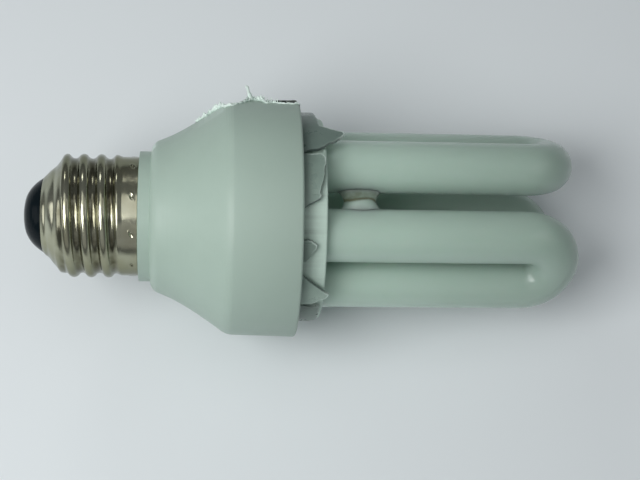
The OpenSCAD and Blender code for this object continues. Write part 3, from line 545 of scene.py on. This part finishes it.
def stub_finish(colours):
    """Dusty glass, clearer on some stubs, each stub's dust share also painting its shade. The broken face is painted
    dark as shade, with a painted highlight where the edge gleams.
    """
    material, tree, shader = new_material("broken_reflector_glass")
    edge = add(tree, "ShaderNodeAttribute", attribute_name="edge").outputs["Fac"]
    clear = add(tree, "ShaderNodeAttribute", attribute_name="clear").outputs["Fac"]
    # The dust attribute carries dust and painted shade for each stub.
    dust = add(tree, "ShaderNodeAttribute", attribute_name="dust").outputs["Fac"]
    gleam = add(tree, "ShaderNodeAttribute", attribute_name="gleam").outputs["Fac"]
    dust_and_shade_veil = product(tree, dust, ramp(tree, noise(tree, 5 * MM, 4, 0.5), 0.35, 0.7, 0.75, 1.1))
    dusty = mix(tree, dust_and_shade_veil, colours.stub, colours.dust)
    # Painted shade: the broken face is darkened.
    inside = ramp(tree, edge, -0.25, -0.02, 0.75, 0)
    lined = mix(tree, inside, dusty, np.array(colours.stub) * 0.45)
    # Painted highlight along the gleaming edge.
    bright = product(tree, gleam, ramp(tree, edge, 0.06, 0.3, 1, 0),
                     ramp(tree, noise(tree, 2 * MM, 3), 0.35, 0.55, 0.5, 1))
    tree.links.new(mix(tree, bright, lined, colours.edge_highlight), shader.inputs["Base Color"])
    tree.links.new(ramp(tree, noise(tree, 3 * MM, 4), 0.3, 0.7, 0.22, 0.42), shader.inputs["Roughness"])
    tree.links.new(bump(tree, noise(tree, 3 * MM, 3), 0.2, 0.06 * MM), shader.inputs["Normal"])
    tree.links.new(product(tree, clear, ramp(tree, noise(tree, 2 * MM, 4), 0.35, 0.65, 0.5, 1)),
                   shader.inputs["Transmission Weight"])
    shader.inputs["IOR"].default_value = 1.5
    return material


def thread_form(turns, pitch, depth):
    """Share of the thread's depth: one arc over each crest and one under each root, that meet as tangents."""
    arc = ((pitch / 2) ** 2 + depth ** 2) / (4 * depth)
    q = np.abs(turns - np.round(turns))
    crest = 1 - (arc - np.sqrt(arc ** 2 - (np.minimum(q, 0.25) * pitch) ** 2)) / depth
    root = (arc - np.sqrt(arc ** 2 - (np.minimum(0.5 - q, 0.25) * pitch) ** 2)) / depth
    return np.where(q < 0.25, crest, root)


def punch_marks(cap, z, angle):
    """Depth of the nearest punch mark: a short slanted groove, deepest in its middle."""
    step = 2 * np.pi / cap.crimps
    across = (angle / step - np.round(angle / step)) * step * cap.skirt_d / 2
    along = z - cap.cap_len + cap.crimp_inset
    reach = np.sqrt((across / (0.75 * MM)) ** 2 + ((along - 0.3 * across) / (0.5 * MM)) ** 2)
    return cap.crimp_depth * (0.6 * ease(1 - reach) - 0.15 * ease(1 - np.abs(reach - 1.1) / 0.4))


class LAMP_OT_roll_shell(bpy.types.Operator):
    """Roll the screw shell"""

    bl_idname = "lamp.roll_shell"
    bl_label = "Roll the screw shell"

    def execute(self, context):
        cap = context.scene.lamp_cap
        columns = 320
        top = cap.cap_len - 0.05 * MM
        rim = np.array([0.09, 0.02, 0, 0, 0.02, 0.09]) * MM
        rim_inset = np.array([0, 0.12, 0.35, 0.65, 0.88, 1])
        z = np.concatenate([(cap.lip_z + rim)[3:], np.linspace(cap.lip_z + 0.15 * MM, top - 0.15 * MM, 190),
                            top - rim, np.linspace(top - 0.3 * MM, cap.lip_z + 0.3 * MM, 50),
                            (cap.lip_z + rim)[:3]])
        inset = np.concatenate([rim_inset[2::-1], np.zeros(190), rim_inset, np.ones(50), rim_inset[:2:-1]])
        angle = np.linspace(0, 2 * np.pi, columns, endpoint=False)
        z, angle = np.meshgrid(z, angle, indexing="ij")
        radius, root = self.surface(cap, z, angle)
        radius = radius - inset[:, None] * cap.wall * 1.1
        shell = make_piece("rolled_screw_shell", around(radius, angle, z),
                           [grid_faces(len(inset), columns, True, True)], ["screw_shell"])
        store(shell, "root", root)
        paint(shell_finish(context.scene.lamp_colours), shell.name)
        return {"FINISHED"}

    def surface(self, cap, z, angle):
        """Outer radius and share of the thread's depth. A crest climbs one pitch with each turn."""
        plain = np.minimum(cap.lip_d / 2 + (z - cap.lip_z) * np.tan(cap.flare), cap.skirt_d / 2)
        flare_top = cap.lip_z + (cap.skirt_d - cap.lip_d) / 2 / np.tan(cap.flare)
        share = (ease((z - flare_top + cap.pitch / 2) / (0.7 * cap.pitch))
                 * ease((cap.thread_end - z) / (0.6 * cap.pitch)))
        form = thread_form((z - cap.crest_z) / cap.pitch - angle / (2 * np.pi), cap.pitch, cap.depth)
        dents = 0.03 * MM * np.sin(3 * angle + z / (1.9 * MM)) * np.sin(5 * angle - z / (2.7 * MM))
        ridge = 0.28 * cap.depth * (1 - form) * (1 - share) * ease((z - cap.lip_z - 0.5 * MM) / MM)
        ridge = np.where(z < flare_top, ridge, 0)
        radius = (plain * (1 - share) + (cap.thread_d / 2 - cap.depth * (1 - form)) * share
                  - ridge - punch_marks(cap, z, angle) - np.abs(dents))
        return radius, share * (1 - form)


class LAMP_OT_bend_tubes(bpy.types.Operator):
    """Bend the three tubes and fuse their bridges"""

    bl_idname = "lamp.bend_tubes"
    bl_label = "Bend the tubes"

    def execute(self, context):
        tube = context.scene.lamp_tube
        tubes = [self.bent_tube(tube, np.radians(turn)) for turn in (0, 120, 240)]
        bridges, welds_and_shade = zip(*[self.bridge(tube, np.radians(turn)) for turn in (180, 300)])
        glass = make_tubes("fused_discharge_tube", [*tubes, *bridges], ["discharge_tube"])
        plain = [np.zeros(grid.shape[0] * grid.shape[1] + 2) for grid in tubes]
        store(glass, "weld", np.concatenate([*plain, *welds_and_shade]))
        paint(tube_finish(context.scene.lamp_colours), glass.name)
        return {"FINISHED"}

    def bent_tube(self, tube, turn):
        """A round section carried along a U: up one leg, round a half circle and down the other leg."""
        half, radius = tube.leg_pitch / 2, tube.tube_d / 2
        dome = np.linspace(0, np.pi / 2, 8)[1:]
        leg = np.linspace(tube.foot_z + 1.6 * MM, tube.bend_z, 60)
        bend = np.linspace(0, np.pi, 66)[1:-1]
        y = np.concatenate([np.full(67, -half), -half * np.cos(bend), np.full(67, half)])
        leg_z = np.concatenate([tube.foot_z + 1.6 * MM * (1 - np.cos(dome)), leg])
        z = np.concatenate([leg_z, tube.bend_z + half * np.sin(bend), leg_z[::-1]])
        out_y = np.concatenate([np.full(67, -1.0), -np.cos(bend), np.full(67, 1.0)])
        out_z = np.concatenate([np.zeros(67), np.sin(bend), np.zeros(67)])
        leg_r = np.concatenate([radius - 1.6 * MM * (1 - np.sin(dome)), np.full(60, radius)])
        squeeze = np.concatenate([leg_r, radius - 0.12 * MM * np.sin(bend) ** 2, leg_r[::-1]])
        phi = np.linspace(0, 2 * np.pi, 72, endpoint=False)[None, :]
        x = tube.offset + squeeze[:, None] * np.cos(phi)
        y = y[:, None] + squeeze[:, None] * np.sin(phi) * out_y[:, None]
        z = z[:, None] + squeeze[:, None] * np.sin(phi) * out_z[:, None]
        return row_points(x * np.cos(turn) - y * np.sin(turn), x * np.sin(turn) + y * np.cos(turn), z)

    def bridge(self, tube, turn):
        """A neck between two legs with an oval section. Its width grows by the square of the distance from the
        waist, and its thickness grows smoothly from one end to the other. The stain is darkest on the seam where
        the two glasses met; the fainter darkening from there to the thinner end is painted shade."""
        circle = np.hypot(tube.offset, tube.leg_pitch / 2)
        lean = np.radians(60) - np.arctan2(tube.leg_pitch / 2, tube.offset)
        half_gap, depth = circle * np.sin(lean) - tube.tube_d / 2, circle * np.cos(lean)
        y = np.linspace(-half_gap - 1.8 * MM, half_gap + 1.8 * MM, 60)[:, None]
        widened = np.minimum(np.abs(y / half_gap), 1) ** 2
        width = (tube.waist_w + (tube.bridge_w - tube.waist_w) * widened) / 2
        thickness = (tube.near_t + (tube.far_t - tube.near_t) * ease(0.5 + y / (2 * half_gap))) / 2
        phi = np.linspace(0, 2 * np.pi, 48, endpoint=False)[None, :]
        x = depth - tube.sunk + thickness * np.cos(phi)
        z = tube.bridge_z - width * np.sin(phi)
        y = y + 0 * phi
        past = (y - tube.seam - 0.25 * MM * np.sin(3 * phi)) / tube.seam_w
        # The stain on the seam is real; the darkening towards the thinner end is painted shade.
        weld = np.exp(-past ** 2) + 0.75 * ease(0.5 - past) * ease((y + half_gap) / half_gap + 0.5)
        weld += 0.1 * ease(past)
        grid = row_points(x * np.cos(turn) - y * np.sin(turn), x * np.sin(turn) + y * np.cos(turn), z)
        return grid, np.concatenate([weld.ravel(), [0, 0]])


class LAMP_OT_break_glass(bpy.types.Operator):
    """Break the reflector's neck down to its stubs"""

    bl_idname = "lamp.break_glass"
    bl_label = "Break the glass"

    def execute(self, context):
        finish = stub_finish(context.scene.lamp_colours)
        for number, (middle, edge) in STUB_EDGES.items():
            stub = self.stub(context.scene.lamp_stub, number, np.radians(middle), np.array(edge, float))
            paint(finish, stub.name)
        return {"FINISHED"}

    def stub(self, sizes, number, middle, edge):
        """A curved plate from its foot up to its broken edge, drawn flat and laid on the neck's round wall. The
        flat place goes in a straight line from the foot to the edge, where the wall thins out and the broken
        face slants back outwards."""
        flat = (sizes.outer_r - sizes.wall / 2) * np.sin(np.radians(edge[:, 0]) - middle)
        top = sizes.rim_z + edge[:, 1] * sizes.tallest
        along = along_line(flat, top)
        columns = int(along[-1] / (0.13 * MM))
        course = np.linspace(0, along[-1], columns)
        taper = np.minimum(np.minimum(course, along[-1] - course) / MM, 1)
        y, z = np.interp(course, along, flat), np.interp(course, along, top)
        side_y, side_z = line_normals(y, z)
        chips = sizes.chip * taper * (wander(number, columns, columns // 3) + 1)
        y, z = y + side_y * chips, z + side_z * chips
        slant = sizes.slant * taper * (1 + 0.5 * wander(number + 10, columns, columns // 6))
        outer_y, outer_z = y + side_y * slant, z + side_z * slant
        foot_y = np.linspace(flat[0], flat[-1], columns)
        up = (1 - np.linspace(1, 0, 36) ** 1.8)[:, None]
        across = np.array([0.25, 0.5, 0.75])[:, None]
        place_y = np.concatenate([foot_y + (outer_y - foot_y) * up, outer_y + (y - outer_y) * across,
                                  (foot_y + (y - foot_y) * up)[::-1]])
        place_z = np.concatenate([sizes.foot_z + (outer_z - sizes.foot_z) * up, outer_z + (z - outer_z) * across,
                                  (sizes.foot_z + (z - sizes.foot_z) * up)[::-1]])
        thin = 1 - (1 - sizes.edge_wall / sizes.wall) * ease(up / 0.15 - 1 / 0.15 + 1)
        depth = np.concatenate([0 * up, across * thin[-1], thin[::-1]])
        radius = sizes.outer_r - sizes.wall * depth
        angle = middle + np.arcsin(place_y / radius)
        gap_y = place_y[:, :, None] - np.stack([outer_y, y])[:, None, None, :]
        gap_z = place_z[:, :, None] - np.stack([outer_z, z])[:, None, None, :]
        distance = np.hypot(gap_y, gap_z).min(axis=(0, 3))
        # Rows of the broken face, marked for its painted shade.
        distance[36:39] = -0.3 * MM
        gleam = np.interp(course, along, edge[:, 2]) + 0 * place_y
        rows = len(depth)
        ring = np.arange(rows // 2)
        lid = np.stack([ring, ring + 1, rows - 2 - ring, rows - 1 - ring], axis=-1) * columns
        stub = make_piece(f"broken_stub_{number}", around(radius, angle, place_z),
                          [grid_faces(rows, columns, wrap_rows=True), lid[:-1], lid[:-1, ::-1] + columns - 1],
                          [f"glass_stub_{number}"])
        store(stub, "edge", distance / MM)
        store(stub, "gleam", gleam)
        # The dust shares carry painted shade as well as dust.
        for name, shares in (("clear", CLEAR), ("dust", DUST_AND_SHADE)):
            store(stub, name, np.full(place_y.shape, shares[number]))
        return stub


class LAMP_OT_tear_glue(bpy.types.Operator):
    """Tear the glue along the edge of the torn wall"""

    bl_idname = "lamp.tear_glue"
    bl_label = "Tear the glue"

    def execute(self, context):
        tear, tones = context.scene.lamp_tear, context.scene.lamp_colours
        lip = self.lip(tear)
        make_tubes("torn_lip", [lip, *self.tatters(tear, lip)], ["torn_glue"])
        make_tubes("drawn_strand", [self.strand(tear)], ["glue_strand"])
        paint(rough_finish("torn_white_glue", tones.glue, np.array(tones.glue) * 0.8, 0.4 * MM, 0.05 * MM, 0.4),
              "torn_lip", "drawn_strand")
        return {"FINISHED"}

    def wall_radius(self, height):
        """Radius of the housing's outside at a height."""
        heights, radii = np.array(WALL).T * MM
        return np.interp(height, heights, radii)

    def tear_angle(self, tear, turn, radius):
        """Angle round the lamp of a point of the edge, which is drawn square on from the middle of the tear."""
        return tear.angle + np.arcsin(tear.rim_r * np.sin(np.radians(turn)) / radius)

    def lip(self, tear):
        """A jagged bead along the tear's edge. Its rings lie square to the edge, are flat below, and widen and
        rise at random between the heights given for the edge."""
        rows = 260
        share, turn, rise = np.array(TEAR_EDGE).T
        along = along_line(share * tear.reach, np.radians(turn) * tear.rim_r)
        course = np.linspace(0, along[-1], rows)
        share, turn, rise = (np.interp(course, along, values) for values in (share, turn, rise))
        z = tear.rim_z - tear.reach * share
        radius = self.wall_radius(z)
        u = radius * self.tear_angle(tear, turn, radius) + 0.12 * MM * wander(1, rows, 60)
        z = z + 0.1 * MM * wander(2, rows, 70)
        side_u, side_z = line_normals(u, z)
        width = tear.lip_w / 2 * (1 + 0.5 * wander(3, rows, 55))[:, None]
        height = (tear.lip_h * rise * (0.85 + 0.55 * wander(4, rows, 75)))[:, None]
        phi = np.linspace(0, 2 * np.pi, 14, endpoint=False)[None, :]
        out = width * (0.3 + np.cos(phi))
        low = 0.12 * MM
        lifted = radius[:, None] - low + (np.maximum(height, 0.15 * MM) + low) * (0.5 + 0.5 * np.sin(phi))
        turned = (u[:, None] - side_u[:, None] * out) / radius[:, None]
        return around(lifted, turned, z[:, None] - side_z[:, None] * out)

    def tatters(self, tear, lip):
        """Small thin tatters that stand out of the lip where it frayed, each a bent rod that thins to a point."""
        draw = np.random.default_rng(12)
        rods = []
        for place in draw.integers(40, 125, tear.tatters):
            root = lip[place].mean(axis=0)
            heading = draw.normal(size=3) * 0.6 + np.array(row_points(np.cos(tear.angle), np.sin(tear.angle), 0.0))
            heading /= np.linalg.norm(heading)
            aside = np.cross(heading, draw.normal(size=3))
            aside /= np.linalg.norm(aside)
            third = np.cross(heading, aside)
            t = np.linspace(0, 1, 9)[:, None, None]
            phi = np.linspace(0, 2 * np.pi, 7, endpoint=False)[None, :, None]
            long, thick, bend = draw.uniform((0.5, 0.1, -0.4), (1.3, 0.24, 0.4)) * MM
            girth = thick * (1 - 0.7 * t)
            rods.append(root + heading * long * t + aside * bend * t ** 2
                        + girth * (aside * np.cos(phi) + third * np.sin(phi)))
        return rods

    def strand(self, tear):
        """A strand drawn out of the lip: it leans towards the cap, thins out and ends in a round bead."""
        foot_z = tear.rim_z - 0.47 * tear.reach
        foot_r = self.wall_radius(foot_z) + 0.3 * MM
        t = np.linspace(0, 1, 48)[:, None]
        phi = np.linspace(0, 2 * np.pi, 14, endpoint=False)[None, :]
        girth = tear.strand_d / 2 * (1.1 - 0.5 * ease(t / 0.7) + 0.2 * np.exp(-((t - 0.92) / 0.07) ** 2))
        girth = girth * np.sqrt(1 - np.clip((t - 0.88) / 0.125, 0, 1) ** 2)
        x = foot_r + (tear.strand_len + tear.lip_h) * t
        y = 0.25 * MM * np.sin(2.6 * t) + girth * np.sin(phi)
        z = foot_z - tear.strand_lean * t + girth * np.cos(phi)
        turn = tear.angle + np.radians(6.5)
        return row_points(x * np.cos(turn) - y * np.sin(turn), x * np.sin(turn) + y * np.cos(turn), z)


class LAMP_OT_finish_solids(bpy.types.Operator):
    """Give every CAD solid of the lamp its finish"""

    bl_idname = "lamp.finish_solids"
    bl_label = "Finish solids"

    def execute(self, context):
        tones = context.scene.lamp_colours
        paint(housing_finish(tones), "housing")
        paint(holder_finish(tones), "tube_holder")
        paint(glass_insulator_finish(tones), "cap_insulator")
        paint(metal_finish("dull_contact_metal", tones.contact, 0.35), "centre_contact", "electrode_leads")
        paint(rough_finish("pale_cement", tones.adhesive, np.array(tones.adhesive) * 0.7, 0.6 * MM, 0.1 * MM, 0.85),
              "tube_cement")
        paint(rough_finish("groove_adhesive", tones.adhesive, tones.dirt, 0.7 * MM, 0.12 * MM, 0.75),
              "reflector_adhesive")
        self.finish_circuit()
        return {"FINISHED"}

    def finish_circuit(self):
        """Finishes of the circuit: each is (name, colour, colour of its stains, roughness, nodes)."""
        for name, tone, stain, roughness, nodes in (
                ("board_laminate", (0.42, 0.3, 0.1), (0.3, 0.2, 0.06), 0.5, ["circuit_board"]),
                ("dark_sleeve", (0.02, 0.035, 0.05), (0.04, 0.05, 0.06), 0.35, ["smoothing_capacitor"]),
                ("grey_ferrite", (0.045, 0.045, 0.05), (0.08, 0.075, 0.07), 0.6, ["choke_core", "drive_ring"]),
                ("black_moulding", (0.015, 0.015, 0.018), (0.05, 0.05, 0.05), 0.45,
                 ["transistor_1", "transistor_2", "rectifier_diodes"]),
                ("brown_dip", (0.25, 0.06, 0.025), (0.16, 0.04, 0.02), 0.3, ["film_capacitor_1", "film_capacitor_2"]),
                ("resistor_body", (0.5, 0.38, 0.2), (0.3, 0.2, 0.1), 0.4, ["resistors"]),
                ("green_coat", (0.14, 0.26, 0.17), (0.09, 0.17, 0.11), 0.5, ["fuse_resistor"])):
            paint(rough_finish(name, tone, stain, 0.5 * MM, 0.02 * MM, roughness), *nodes)
        paint(metal_finish("enamelled_copper", (0.5, 0.16, 0.05), 0.3), "choke_winding", "drive_windings", "cap_lead")


class LAMP_OT_set_stage(bpy.types.Operator):
    """Lay the floor and set the lamps and the camera"""

    bl_idname = "lamp.set_stage"
    bl_label = "Set stage"

    def execute(self, context):
        stage = context.scene.lamp_stage
        self.lay_floor(stage)
        self.set_camera(context, stage)
        self.set_lamps(context)
        context.scene.view_settings.view_transform = "Standard"
        return {"FINISHED"}

    def lay_floor(self, stage):
        """A flat square under the lamp's lowest point. Far from the lamp the camera sees the backdrop's colour."""
        half = stage.floor_size / 2
        low = cad_box[0][2]
        steps = np.linspace(-half, half, 3)
        x, y = np.meshgrid(steps, steps)
        mesh = bpy.data.meshes.new("floor")
        corners = np.stack([x, y, np.full_like(x, low)], axis=-1).reshape(-1, 3)
        mesh.from_pydata(corners, [], grid_faces(3, 3))
        floor = bpy.data.objects.new("floor", mesh)
        bpy.context.scene.collection.objects.link(floor)
        material, tree, shader = new_material("pale_floor")
        shader.inputs["Base Color"].default_value = (*stage.floor, 1)
        shader.inputs["Roughness"].default_value = 0.9
        place = add(tree, "ShaderNodeTexCoord").outputs["Object"]
        reach = add(tree, "ShaderNodeVectorMath", {0: place, 1: (cad_box[1][0] / 2, 0, low)}, operation="DISTANCE")
        far = ramp(tree, reach.outputs["Value"], stage.pool, stage.pool + stage.fade)
        seen = add(tree, "ShaderNodeLightPath").outputs["Is Camera Ray"]
        glow = add(tree, "ShaderNodeEmission", {"Color": (*stage.backdrop, 1)})
        faded = add(tree, "ShaderNodeMixShader", {0: product(tree, seen, far), 1: shader.outputs[0],
                                                  2: glow.outputs[0]})
        tree.links.new(faded.outputs[0], tree.nodes["Material Output"].inputs["Surface"])
        floor.data.materials.append(material)

    def set_camera(self, context, stage):
        """The camera's axes were fitted to the lamp's outline: across the picture, down it and towards it."""
        tip_axes = np.array([[0.99576053, 0.01235952, -0.09114939],
                             [-0.01241119, 0.99992298, 0],
                             [0.09114237, 0.00113127, 0.99583723]])
        turn = np.radians(197.72)
        along = np.array([TILT_COS, 0, -TILT_SIN])
        floorward = np.array([-TILT_SIN, 0, -TILT_COS])
        sideways = np.array([0, 1, 0])
        lamp_axes = np.array([along,
                              np.cos(turn + np.pi / 2) * floorward + np.sin(turn + np.pi / 2) * sideways,
                              np.cos(turn) * floorward + np.sin(turn) * sideways])
        across, down, toward = tip_axes.T @ lamp_axes
        place = stage.across * across + stage.down * down + stage.distance * toward
        camera = bpy.data.objects.new("camera", bpy.data.cameras.new("camera"))
        camera.data.sensor_fit = "HORIZONTAL"
        camera.data.angle = stage.field_of_view
        camera.data.clip_start = 0.01
        camera.matrix_world = Matrix.Translation(Vector(place)) @ Matrix(
            np.column_stack([across, -down, toward]).tolist()).to_4x4()
        context.scene.collection.objects.link(camera)
        context.scene.camera = camera

    def set_lamps(self, context):
        """Soft boxes: each is (name, place, width, height, watts), and looks at the lamp's middle. The dim
        surroundings light the lamp too, and the camera sees them in the backdrop's colour."""
        middle = Vector(((cad_box[0][0] + cad_box[1][0]) / 2, 0, -0.012))
        boxes = [("key_box", (-0.1, -0.1, 0.3), 0.22, 0.2, 0.78),
                 ("left_box", (-0.4, -0.02, 0.12), 0.25, 0.14, 0.14),
                 ("top_box", (0, 0, 0.6), 0.5, 0.4, 0.5),
                 ("front_box", (-0.05, -0.5, 0.35), 0.9, 0.6, 0.32),
                 ("right_box", (0.4, 0, 0.35), 0.3, 0.2, 0.12),
                 ("glint_box", (-0.06, 0.45, 0.3), 0.16, 0.1, 0.18)]
        for name, place, width, height, watts in boxes:
            light = bpy.data.lights.new(name, "AREA")
            light.shape = "RECTANGLE"
            light.size, light.size_y = width, height
            light.energy = watts
            box = bpy.data.objects.new(name, light)
            box.visible_camera = False
            box.matrix_world = Matrix.Translation(place) @ (
                middle - Vector(place)).to_track_quat("-Z", "Y").to_matrix().to_4x4()
            context.scene.collection.objects.link(box)
        world = bpy.data.worlds.new("studio")
        world.use_nodes = True
        tree = world.node_tree
        light = tree.nodes["Background"]
        light.inputs["Color"].default_value = (0.9, 0.95, 1, 1)
        light.inputs["Strength"].default_value = 0.16
        seen = add(tree, "ShaderNodeLightPath").outputs["Is Camera Ray"]
        backdrop = add(tree, "ShaderNodeBackground", {"Color": (*context.scene.lamp_stage.backdrop, 1)})
        both = add(tree, "ShaderNodeMixShader", {0: seen, 1: light.outputs[0], 2: backdrop.outputs[0]})
        tree.links.new(both.outputs[0], tree.nodes["World Output"].inputs["Surface"])
        context.scene.world = world


class LAMP_PT_panel(bpy.types.Panel):
    """Sizes, colours and steps of the lamp"""

    bl_label = "Reflector lamp"
    bl_space_type = "VIEW_3D"
    bl_region_type = "UI"
    bl_category = "Lamp"

    def draw(self, context):
        for group in GROUPS:
            settings = getattr(context.scene, group)
            for name in settings.__annotations__:
                self.layout.prop(settings, name)
        for operator in OPERATORS:
            self.layout.operator(operator.bl_idname)


GROUPS = {"lamp_cap": CapSizes, "lamp_tube": TubeSizes, "lamp_stub": StubSizes, "lamp_tear": TearSizes,
          "lamp_colours": LampColours, "lamp_stage": StageSizes}
OPERATORS = [LAMP_OT_finish_solids, LAMP_OT_roll_shell, LAMP_OT_bend_tubes, LAMP_OT_break_glass,
             LAMP_OT_tear_glue, LAMP_OT_set_stage]


def register():
    """Registers the settings, the steps and the panel."""
    for kind in (*GROUPS.values(), *OPERATORS, LAMP_PT_panel):
        bpy.utils.register_class(kind)
    for name, group in GROUPS.items():
        setattr(bpy.types.Scene, name, bpy.props.PointerProperty(type=group))


def unregister():
    """Takes them away again."""
    for name in GROUPS:
        delattr(bpy.types.Scene, name)
    for kind in (LAMP_PT_panel, *OPERATORS, *GROUPS.values()):
        bpy.utils.unregister_class(kind)


def main():
    """Registers the add-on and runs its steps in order."""
    register()
    bpy.ops.lamp.finish_solids()
    bpy.ops.lamp.roll_shell()
    bpy.ops.lamp.bend_tubes()
    bpy.ops.lamp.break_glass()
    bpy.ops.lamp.tear_glue()
    bpy.ops.lamp.set_stage()


if __name__ == "__main__":
    main()
